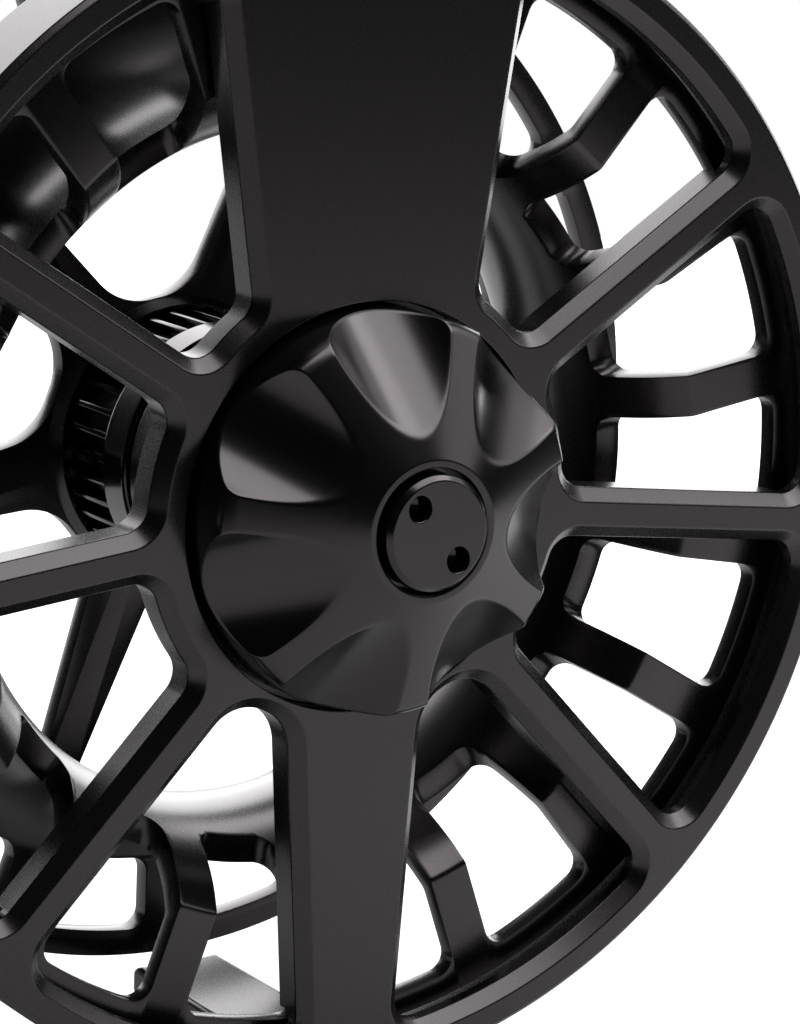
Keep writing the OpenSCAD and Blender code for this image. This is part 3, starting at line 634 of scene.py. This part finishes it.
def drag_knob():
    """The knob from the cap's pocket out over the scallops, down the skirt and back through its hollow."""
    shell = Shell()
    pocket = [(CAP_POCKET_R, CAP_POCKET_Z)]
    pocket += [(CAP_POCKET_R + out, KNOB_TOP_Z - down) for out, down in CAP_POCKET_BREAK]
    radii = spread(CAP_POCKET_R + CAP_POCKET_EASE, LAND_TOP_R, 5)
    radii += spread(LAND_TOP_R, KNOB_TOP_ZONE_R, 24)
    radii += spread(KNOB_TOP_ZONE_R, KNOB_R - KNOB_RIM_ZONE, 48)
    radii += [KNOB_R - KNOB_RIM_ZONE * (1 - f) ** 2 for f in spread(0, 1, 20)] + [KNOB_R]
    under = soften([(KNOB_R, SKIRT_Z), (KNOB_R, KNOB_LOW_Z), (KNOB_HOLLOW_R, KNOB_LOW_Z),
                    (KNOB_HOLLOW_R, KNOB_HOLLOW_Z), (KNOB_SLEEVE_R, KNOB_HOLLOW_Z),
                    (KNOB_SLEEVE_R, KNOB_LOW_Z), (STEM_HOLE_R, KNOB_LOW_Z), (STEM_HOLE_R, CAP_POCKET_Z)],
                   KNOB_EASE)
    rings = [knob_ring(shell, r, lambda a, z=z: z) for r, z in pocket]
    rings += [knob_ring(shell, r, lambda a, r=r: min(knob_z(r, a), KNOB_TOP_Z)) for r in radii]
    rings.append(knob_ring(shell, KNOB_R, lambda a: knob_z(KNOB_R, a) - KNOB_RIM_EASE / 2))
    rings += [knob_ring(shell, r, lambda a, z=z: z) for r, z in under]
    shell.bands(rings)
    shell.band(rings[-1], rings[0])
    return shade(mesh_object("scalloped_knob", shell), KNOB_BLACK, angle=40)


# Knob cap
CAP_R, CAP_Z, CAP_CHAMFER, CAP_EASE = 4.9, 11.0, 0.4, 0.08
CAP_PLUG_R, CAP_PLUG_Z = 2.0, 3.0
SPANNER_R, SPANNER_AT, SPANNER_A = 1.1, 3.0, 130.0
SPANNER_DEPTH, SPANNER_POINT, SPANNER_LEAD, SPANNER_EASE = 2.0, (0.05, 0.5), 0.4, 0.1


def knob_cap():
    shell = Shell()
    side = soften([(0.0, CAP_PLUG_Z), (CAP_PLUG_R, CAP_PLUG_Z), (CAP_PLUG_R, CAP_POCKET_Z),
                   (CAP_R, CAP_POCKET_Z), (CAP_R, CAP_Z - CAP_CHAMFER), (CAP_R - CAP_CHAMFER, CAP_Z),
                   (SPANNER_AT, CAP_Z)], CAP_EASE)[1:-1]
    rings = [shell.ring(circle(r, 128), z) for r, z in side]
    shell.bands(rings)
    shell.fill([rings[0]])
    loops = [rings[-1]]
    floor = CAP_Z - SPANNER_DEPTH
    point_r, point_drop = SPANNER_POINT
    hole = soften([(SPANNER_R + SPANNER_LEAD, CAP_Z), (SPANNER_R, CAP_Z), (SPANNER_R, floor),
                   (point_r, floor - point_drop)], SPANNER_EASE)[1:]
    for turn in (0, 180):
        centre = polar(SPANNER_AT, SPANNER_A + turn)
        hole_rings = [shell.ring(circle(r, 64, centre), z) for r, z in hole]
        shell.bands(hole_rings)
        shell.faces.append(tuple(hole_rings[-1]))
        loops.append(hole_rings[0])
    shell.fill(loops)
    return shade(mesh_object("spanner_cap", shell), CAP_BLACK, angle=30)


# Spool
FLANGE_Z, FLANGE_T = -4.3, 1.8
REAR_FLANGE_R, FRONT_FLANGE_R = 48.0, 48.8
FRONT_Z = (-32.7, -34.5)
WAIST_Z, CURVE_AT_R = -18.9, 49.1
CURVE_R, CURVE_STEPS, CURVE_LIP = 19.0, 44, 0.4
LINE_CURVE_R, LINE_CURVE_STEPS, LINE_LIP = 16.8, 40, 0.5
BENT_ARMS, BENT_ARM_W, BENT_ARM_A = 18, 3.8, 9.4
FLANGE_WINDOW_R, WINDOW_ROUND = 46.0, 1.6
GAP_IN_R = 25.0
SLOT_END_Z, SLOT_ROUND, SLOT_STEPS = -11.6, 1.5, 8
FRONT_WINDOW_R = (39.5, 46.4)
SPOKES, SPOKE_W, SPOKE_TAPER, SPOKE_A = 6, 8.6, 4.5, 9.4
PLATE_R, PLATE_Z = 35.4, (-33.2, -35.0)
PLATE_WINDOW_IN_ROUND, PLATE_WINDOW_OUT_ROUND, PLATE_LIP = 6.0, 3.0, 0.1
BOSS_R, BOSS_TIP_R, BOSS_Z = 12.8, 12.3, -31.6
NOSE_R, NOSE_BORE_R, NOSE_Z = 11.2, 9.2, -36.4
PAD_R, PAD_STAND = 6.2, 0.05
SPOOL_EASE = 0.14
CUT_PAST, CUT_UNDER = 1.0, 0.2

# Drive hub, whose ribs key into the spool
HUB_R, HUB_BAND_R = 11.0, 12.0
HUB_BAND_Z, HUB_BAND_CHAMFER = (-20.8, -24.6), 0.3
HUB_BORE_R, HUB_NECK_R, HUB_NECK_Z = 4.1, 5.0, -17.9
HUB_TIP_R, HUB_TIP_Z = 8.4, -36.2
HUB_BUSH_R, HUB_BUSH_Z = 6.0, -29.8
CLUTCH_R, CLUTCH_Z = 7.0, -21.8
RIBS, RIB_A = 36, 8.5
RIB_R, RIB_ROOT_R, RIB_W, RIB_Z = 11.95, 10.0, 0.5, (-34.2, -24.5)
SPLINE_GAP, SPLINE_END_Z = 0.15, -34.4
HUB_EASE, RIB_EASE = 0.15, 0.1

# Places of the crank handle and the counterweight on the front flange
CRANK_AT, CRANK_A = 42.5, -10.0
CRANK, WEIGHT = polar(CRANK_AT, CRANK_A), polar(CRANK_AT, CRANK_A + 180)

# Inputs that the node trees for cuts and for copies share
RING_INPUTS = (("Geometry", "NodeSocketGeometry"), ("Shape", "NodeSocketObject"), ("Count", "NodeSocketInt"),
               ("First turn", "NodeSocketFloat"), ("Finish", "NodeSocketMaterial"))


def ring_tree(name):
    """An empty tree with the shared inputs, which ends by giving its mesh the finish."""
    tree = bpy.data.node_groups.new(name, "GeometryNodeTree")
    tree.interface.new_socket("Geometry", in_out="OUTPUT", socket_type="NodeSocketGeometry")
    for label, kind in RING_INPUTS:
        tree.interface.new_socket(label, in_out="INPUT", socket_type=kind)
    ins, out = add_node(tree, "NodeGroupInput"), add_node(tree, "NodeGroupOutput")
    paint = add_node(tree, "GeometryNodeSetMaterial")
    tree.links.new(ins.outputs["Finish"], paint.inputs["Material"])
    tree.links.new(paint.outputs["Geometry"], out.inputs["Geometry"])
    return tree, ins.outputs, paint.inputs["Geometry"]


def shapes_round_axis(tree, ins):
    """Real copies of the shape, turned in equal steps about the spin axis."""
    points = add_node(tree, "GeometryNodePoints")
    points.inputs["Position"].default_value = AXIS
    index = add_node(tree, "GeometryNodeInputIndex")
    step = add_node(tree, "ShaderNodeMath", operation="DIVIDE")
    step.inputs[0].default_value = -2 * math.pi
    turn = add_node(tree, "ShaderNodeMath", operation="MULTIPLY_ADD")
    spin = add_node(tree, "ShaderNodeCombineXYZ")
    shape = add_node(tree, "GeometryNodeObjectInfo")
    place = add_node(tree, "GeometryNodeInstanceOnPoints")
    real = add_node(tree, "GeometryNodeRealizeInstances")
    tree.links.new(ins["Count"], points.inputs["Count"])
    tree.links.new(ins["Count"], step.inputs[1])
    tree.links.new(index.outputs["Index"], turn.inputs[0])
    tree.links.new(step.outputs["Value"], turn.inputs[1])
    tree.links.new(ins["First turn"], turn.inputs[2])
    tree.links.new(turn.outputs["Value"], spin.inputs["Y"])
    tree.links.new(ins["Shape"], shape.inputs["Object"])
    tree.links.new(points.outputs["Points"], place.inputs["Points"])
    tree.links.new(shape.outputs["Geometry"], place.inputs["Instance"])
    tree.links.new(spin.outputs["Vector"], place.inputs["Rotation"])
    tree.links.new(place.outputs["Instances"], real.inputs["Geometry"])
    return real.outputs["Geometry"]


def ring_of_cuts():
    """Nodes that cut one shape out of a body all the way round the spin axis."""
    tree, ins, finished = ring_tree("cuts round the spin axis")
    cut = add_node(tree, "GeometryNodeMeshBoolean", operation="DIFFERENCE", solver="EXACT")
    tree.links.new(ins["Geometry"], cut.inputs["Mesh 1"])
    tree.links.new(shapes_round_axis(tree, ins), cut.inputs["Mesh 2"])
    tree.links.new(cut.outputs["Mesh"], finished)
    return tree


def ring_of_copies():
    """Nodes that set copies of one shape all the way round the spin axis."""
    tree, ins, finished = ring_tree("copies round the spin axis")
    join = add_node(tree, "GeometryNodeJoinGeometry")
    tree.links.new(shapes_round_axis(tree, ins), join.inputs["Geometry"])
    tree.links.new(ins["Geometry"], join.inputs["Geometry"])
    tree.links.new(join.outputs["Geometry"], finished)
    return tree


def apply_ring(obj, tree, shape, count, first_angle, finish):
    """Runs a ring tree on an object and keeps the result as its plain mesh."""
    shape.data.transform(Matrix.Translation(-AXIS))
    tool = obj.modifiers.new(tree.name, "NODES")
    tool.node_group = tree
    values = {"Shape": shape, "Count": count, "First turn": -math.radians(first_angle), "Finish": finish}
    for item in tree.interface.items_tree:
        if item.item_type == "SOCKET" and item.in_out == "INPUT" and item.name in values:
            tool[item.identifier] = values[item.name]
    freeze(obj)
    bpy.data.objects.remove(shape)


def arm_gap_outline(r_in, r_out, inset=0.0):
    """Outline of the gap between two arms of a flange."""
    half, off = 180 / BENT_ARMS, BENT_ARM_W / 2
    return window_outline((half, off), (-half, off), r_in, r_out, WINDOW_ROUND, WINDOW_ROUND, inset,
                          corner_steps=6, rim_steps=12)[0]


def rear_gap():
    """Window of the rear flange that runs on as a round-ended slot in the arbor."""
    shell = Shell()
    rings = [shell.ring(arm_gap_outline(GAP_IN_R, FLANGE_WINDOW_R), FLANGE_Z + CUT_PAST)]
    for i in range(SLOT_STEPS + 1):
        across, down = along(90 * i / SLOT_STEPS)
        outline = arm_gap_outline(GAP_IN_R, FLANGE_WINDOW_R, SLOT_ROUND * (1 - across))
        rings.append(shell.ring(outline, SLOT_END_Z + SLOT_ROUND * (1 - down)))
    shell.bands(rings)
    shell.fill([rings[0]])
    shell.fill([rings[-1]])
    return mesh_object("rear gap", shell)


def front_gap():
    return slab("front gap", arm_gap_outline(*FRONT_WINDOW_R), FRONT_Z[1] - CUT_PAST, FRONT_Z[0] + CUT_UNDER)


def plate_window():
    half = 180 / SPOKES + SPOKE_TAPER
    off = SPOKE_W / 2 * math.cos(math.radians(SPOKE_TAPER))
    points, _ = window_outline((half, off), (-half, off), BOSS_R + PLATE_LIP, PLATE_R + PLATE_LIP,
                               PLATE_WINDOW_IN_ROUND, PLATE_WINDOW_OUT_ROUND, 0)
    return slab("plate window", points, PLATE_Z[1] - CUT_PAST, FRONT_Z[0] + CUT_UNDER)


def rib_outline(r, half):
    return [(RIB_ROOT_R, -half), (r, -half), (r, half), (RIB_ROOT_R, half)]


def spline_groove():
    outline = rib_outline(RIB_R + SPLINE_GAP, RIB_W / 2 + SPLINE_GAP)
    return slab("spline groove", outline, SPLINE_END_Z, BOSS_Z + CUT_PAST)


def arbor_curve(r, start, end, steps):
    """Points (radius, z) of the waisted arbor from one z to another."""
    heights = spread(start, end, steps) + [end]
    return [(CURVE_AT_R - math.sqrt(r * r - (z - WAIST_Z) ** 2), z) for z in heights]


def spool_profile():
    """The spool's closed profile: along the hollow arbor, round the boss and nose, back by the line side."""
    back, front = FRONT_Z
    plate_back, plate_front = PLATE_Z
    flange_low = FLANGE_Z - FLANGE_T
    bore_r = HUB_R + SPLINE_GAP
    hollow = arbor_curve(CURVE_R, FLANGE_Z, back, CURVE_STEPS)
    wound = arbor_curve(LINE_CURVE_R, back, flange_low, LINE_CURVE_STEPS)
    profile = round_corner((REAR_FLANGE_R, FLANGE_Z), hollow[0], hollow[3], CURVE_LIP, 4) + hollow[2:]
    profile += [(PLATE_R, back), (PLATE_R, plate_back), (BOSS_R, plate_back), (BOSS_TIP_R, BOSS_Z),
                (bore_r, BOSS_Z), (bore_r, SPLINE_END_Z), (NOSE_BORE_R, SPLINE_END_Z), (NOSE_BORE_R, NOSE_Z),
                (NOSE_R, NOSE_Z), (NOSE_R, plate_front), (PLATE_R, plate_front), (PLATE_R, front),
                (FRONT_FLANGE_R, front), (FRONT_FLANGE_R, back)]
    profile += round_corner((FRONT_FLANGE_R, back), wound[0], wound[3], LINE_LIP) + wound[2:-2]
    profile += round_corner(wound[-4], wound[-1], (REAR_FLANGE_R, flange_low), LINE_LIP)
    return profile + [(REAR_FLANGE_R, flange_low), (REAR_FLANGE_R, FLANGE_Z)]


def spool_body():
    shell = Shell()
    shell.turn(spool_profile(), closed=True)
    body = mesh_object("ported_spool", shell)
    cuts = ring_of_cuts()
    apply_ring(body, cuts, rear_gap(), BENT_ARMS, BENT_ARM_A + 180 / BENT_ARMS, SPOOL_BLACK)
    apply_ring(body, cuts, front_gap(), BENT_ARMS, SPOKE_A + 180 / BENT_ARMS, SPOOL_BLACK)
    apply_ring(body, cuts, plate_window(), SPOKES, SPOKE_A + 180 / SPOKES, SPOOL_BLACK)
    apply_ring(body, cuts, spline_groove(), RIBS, RIB_A, SPOOL_BLACK)
    for place in (CRANK, WEIGHT):
        pad = slab("pad", circle(PAD_R, 96, place), FRONT_Z[1] - PAD_STAND, FRONT_Z[0] + PAD_STAND)
        cut_with(body, pad, "UNION")
    return shade(ease_edges(body, SPOOL_EASE, angle=35), SPOOL_BLACK, angle=35)


def drive_hub():
    band_start, band_end = HUB_BAND_Z
    rib_end = RIB_Z[0]
    profile = [(HUB_BORE_R, HUB_NECK_Z), (HUB_NECK_R, HUB_NECK_Z), (HUB_NECK_R, band_start),
               (HUB_BAND_R - HUB_BAND_CHAMFER, band_start), (HUB_BAND_R, band_start - HUB_BAND_CHAMFER),
               (HUB_BAND_R, band_end), (HUB_R, band_end), (HUB_R, rib_end), (HUB_TIP_R, rib_end),
               (HUB_TIP_R, HUB_TIP_Z), (HUB_BUSH_R, HUB_TIP_Z), (HUB_BUSH_R, HUB_BUSH_Z),
               (CLUTCH_R, HUB_BUSH_Z), (CLUTCH_R, CLUTCH_Z), (HUB_BORE_R, CLUTCH_Z)]
    hub = turned("ribbed_hub", profile, HUB_BLACK, HUB_EASE)
    rib = ease_edges(slab("rib", rib_outline(RIB_R, RIB_W / 2), *RIB_Z), RIB_EASE)
    apply_ring(hub, ring_of_copies(), rib, RIBS, RIB_A, HUB_BLACK)
    return shade(hub, HUB_BLACK)


# Crank handle, counterweight and cap on the front side
GRIP_Z, GRIP_STEPS, GRIP_BORE_R = (-35.2, -55.2), 60, 3.2
GRIP_NECK_R, GRIP_SWELL, GRIP_FLARE = 4.9, 2.2, 0.7
GRIP_START_ROUND, GRIP_END_ROUND = 0.3, 0.4
POST_R, POST_HEAD_R, POST_HEAD_Z, POST_EASE = 2.0, 3.2, (-55.5, -56.7), 0.12
POST_DIMPLE_R, POST_DIMPLE_Z = 1.0, -56.3
WEIGHT_R, WEIGHT_END_Z, WEIGHT_EASE = 5.6, -37.1, 0.4
SCREW_R, SCREW_HEAD_R, SCREW_HEAD_Z, SCREW_EASE = 1.5, 3.0, (WEIGHT_END_Z, -38.6), 0.2
SCREW_DIMPLE_R, SCREW_DIMPLE_Z = 1.1, -38.0
DIMPLE_FLOOR_R = 0.9
SPOOL_CAP_R, SPOOL_CAP_Z, SPOOL_CAP_EASE = 10.4, -37.6, 0.25
SPOOL_CAP_DISH_R, SPOOL_CAP_DISH_Z = (7.6, 7.2), -37.3


def grip_r(f):
    """Radius of the grip at a share of its length: a flared start, a neck and a swell before the end."""
    swell = GRIP_SWELL * (1 - math.cos(2 * math.pi * f * f)) / 2 * f
    return GRIP_NECK_R + swell + GRIP_FLARE * (1 - f) ** 4


def handle_grip():
    start, end = GRIP_Z
    shares = spread(0, 1, GRIP_STEPS) + [1]
    outer = [(grip_r(f), start + (end - start) * f) for f in shares]
    first = round_corner((GRIP_BORE_R, start), outer[0], outer[4], GRIP_START_ROUND)
    last = round_corner(outer[-5], outer[-1], (GRIP_BORE_R, end), GRIP_END_ROUND)
    profile = [(GRIP_BORE_R, start)] + first + outer[2:-2] + last + [(GRIP_BORE_R, end)]
    return turned("crank_grip", profile, GRIP_PLASTIC, 0, 96, CRANK, angle=50)


def headed_pin(name, r, head_r, head_z, dimple_r, dimple_z, ease, centre):
    """A steel pin from the front flange outward, with a round head and a shallow dimple in it."""
    shoulder, end = head_z
    profile = [(CORE_R, FRONT_Z[0]), (r, FRONT_Z[0]), (r, shoulder), (head_r, shoulder), (head_r, end),
               (dimple_r, end), (DIMPLE_FLOOR_R, dimple_z), (CORE_R, dimple_z)]
    return turned(name, profile, STEEL, ease, 64, centre)


def handle_post():
    return headed_pin("crank_post", POST_R, POST_HEAD_R, POST_HEAD_Z, POST_DIMPLE_R, POST_DIMPLE_Z,
                      POST_EASE, CRANK)


def counterweight():
    start = FRONT_Z[1]
    profile = [(SCREW_R, start), (WEIGHT_R, start), (WEIGHT_R, WEIGHT_END_Z), (SCREW_R, WEIGHT_END_Z)]
    return turned("crank_weight", profile, HUB_BLACK, WEIGHT_EASE, 128, WEIGHT)


def counterweight_screw():
    return headed_pin("weight_screw", SCREW_R, SCREW_HEAD_R, SCREW_HEAD_Z, SCREW_DIMPLE_R, SCREW_DIMPLE_Z,
                      SCREW_EASE, WEIGHT)


def spool_cap():
    dish_r, floor_r = SPOOL_CAP_DISH_R
    profile = [(CORE_R, NOSE_Z), (SPOOL_CAP_R, NOSE_Z), (SPOOL_CAP_R, SPOOL_CAP_Z), (dish_r, SPOOL_CAP_Z),
               (floor_r, SPOOL_CAP_DISH_Z), (CORE_R, SPOOL_CAP_DISH_Z)]
    return turned("spool_nose", profile, CAP_BLACK, SPOOL_CAP_EASE, 192)


def dress_cad_nodes():
    """Gives every CAD node the finish of its slot."""
    finishes = {"black_frame": FRAME_BLACK, "black_knob": KNOB_BLACK, "black_cap": CAP_BLACK,
                "black_spool": SPOOL_BLACK, "dark_metal": HUB_BLACK, "steel": STEEL, "bronze": BRONZE,
                "seal_rubber": SEAL_RUBBER, "grip_plastic": GRIP_PLASTIC}
    for entry in frame["record"]["subparts"]:
        node = frame["nodes"][entry["node"]]
        node.data.materials.clear()
        node.data.materials.append(finishes[entry["material_slot"]])


# Stage
FLOOR_Z = -0.1122
FLOOR_R, FLOOR_STEPS = 520.0, 96
FLOOR_GREY, FLOOR_GLOW = 0.72, 0.8
SURROUND_FILL, SURROUND_WHITE = 0.012, 1.0
LIGHTS_AIM = (0, 0, -5)


def seen_directly(tree):
    """One for a ray from the camera or through clear matter, else nought."""
    path = add_node(tree, "ShaderNodeLightPath")
    seen = add_node(tree, "ShaderNodeMath", operation="MAXIMUM")
    tree.links.new(path.outputs["Is Camera Ray"], seen.inputs[0])
    tree.links.new(path.outputs["Is Transmission Ray"], seen.inputs[1])
    return seen.outputs["Value"]


def pale_floor():
    """Pale matt finish that the camera sees as white, and that keeps the reel's shadow."""
    finish, tree, shader = new_finish("pale floor")
    level = add_node(tree, "ShaderNodeMath", operation="MULTIPLY")
    level.inputs[1].default_value = FLOOR_GLOW
    tree.links.new(seen_directly(tree), level.inputs[0])
    tree.links.new(level.outputs["Value"], shader.inputs["Emission Strength"])
    shader.inputs["Emission Color"].default_value = (1, 1, 1, 1)
    shader.inputs["Base Color"].default_value = (FLOOR_GREY, FLOOR_GREY, FLOOR_GREY, 1)
    shader.inputs["Roughness"].default_value = 0.9
    shader.inputs["Specular IOR Level"].default_value = 0.0
    return finish


def white_surround():
    """World that the camera sees as white, and that adds hardly any light of its own."""
    world = bpy.data.worlds.new("white studio")
    bpy.context.scene.world = world
    world.use_nodes = True
    tree = world.node_tree
    light = tree.nodes["Background"]
    level = add_node(tree, "ShaderNodeMapRange")
    level.inputs["To Min"].default_value = SURROUND_FILL
    level.inputs["To Max"].default_value = SURROUND_WHITE
    tree.links.new(seen_directly(tree), level.inputs["Value"])
    tree.links.new(level.outputs["Result"], light.inputs["Strength"])
    light.inputs["Color"].default_value = (1, 1, 1, 1)


def stage():
    shell = Shell()
    height = FLOOR_Z * 1000 + FOOT_TOP
    ring = shell.add([(x, height, z) for x, z in circle(FLOOR_R, FLOOR_STEPS)])
    shell.faces = [tuple(ring[::-1])]
    floor = mesh_object("floor", shell)
    floor.data.materials.append(pale_floor())
    white_surround()


def softbox(name, direction, distance, size, power):
    """Soft light panel that looks at the middle of the reel from a direction of the turning frame."""
    lamp = bpy.data.lights.new(name, "AREA")
    lamp.shape = "RECTANGLE"
    lamp.size, lamp.size_y = size
    lamp.energy = power
    obj = bpy.data.objects.new(name, lamp)
    run = Vector((direction[0], -direction[2], direction[1])).normalized()
    obj.location = Vector(on_reel(LIGHTS_AIM)) + run * distance
    obj.rotation_euler = (-run).to_track_quat("-Z", "Y").to_euler()
    obj.visible_camera = False
    bpy.context.scene.collection.objects.link(obj)


# Camera, solved from the photograph's outlines
CAMERA_AT = (-172.62, 70.99, 272.22)
CAMERA_RIGHT = (0.84346, 0.03217, 0.53622)
CAMERA_UP = (0.08934, 0.97590, -0.19909)
CAMERA_BACK = (-0.52970, 0.21584, 0.82026)
CAMERA_LENS, CAMERA_SENSOR_W, CAMERA_CLIP_M = 177.405, 36, 0.01


def camera():
    data = bpy.data.cameras.new("camera")
    data.sensor_fit = "HORIZONTAL"
    data.sensor_width = CAMERA_SENSOR_W
    data.lens = CAMERA_LENS
    data.clip_start = CAMERA_CLIP_M
    obj = bpy.data.objects.new("camera", data)
    columns = [Vector((v[0], -v[2], v[1])) for v in (CAMERA_RIGHT, CAMERA_UP, CAMERA_BACK)]
    turn = Matrix(columns).transposed()
    obj.matrix_world = Matrix.Translation(Vector(on_reel(CAMERA_AT))) @ turn.to_4x4()
    bpy.context.scene.collection.objects.link(obj)
    bpy.context.scene.camera = obj


camera()
dress_cad_nodes()
fit(frame_plate(), "frame", "black_frame", "frame")
fit(foot_bridge(), "frame", "black_frame")
fit(line_pillar(), "frame", "black_frame")
fit(reel_foot(), "frame", "black_frame", "reel_foot")
fit(drag_knob(), "knob", "black_knob", "drag_knob")
fit(knob_cap(), "knob", "black_cap", "knob_cap")
fit(spool_body(), "spool", "black_spool", "spool_rear_flange", "spool_arms", "spool_arbor",
    "spool_front_flange", "spool_spokes")
fit(spool_cap(), "spool", "black_cap", "spool_cap")
fit(drive_hub(), "hub", "dark_metal", "drive_hub")
fit(handle_grip(), "handle", "grip_plastic", "handle_grip")
fit(handle_post(), "spool", "steel", "handle_post")
fit(counterweight(), "spool", "dark_metal", "counterweight")
fit(counterweight_screw(), "spool", "steel", "counterweight_screw")
stage()
softbox("overhead soft light", (0.27, 0.92, 0.27), 0.4, (0.37, 0.37), 1.4)
softbox("right soft light", (0.74, 0.6, 0.3), 0.5, (0.42, 0.42), 0.65)
softbox("white wall light", (0.42, 0.18, -0.89), 0.64, (1.15, 0.95), 12.0)
bpy.context.scene.view_settings.view_transform = "Standard"
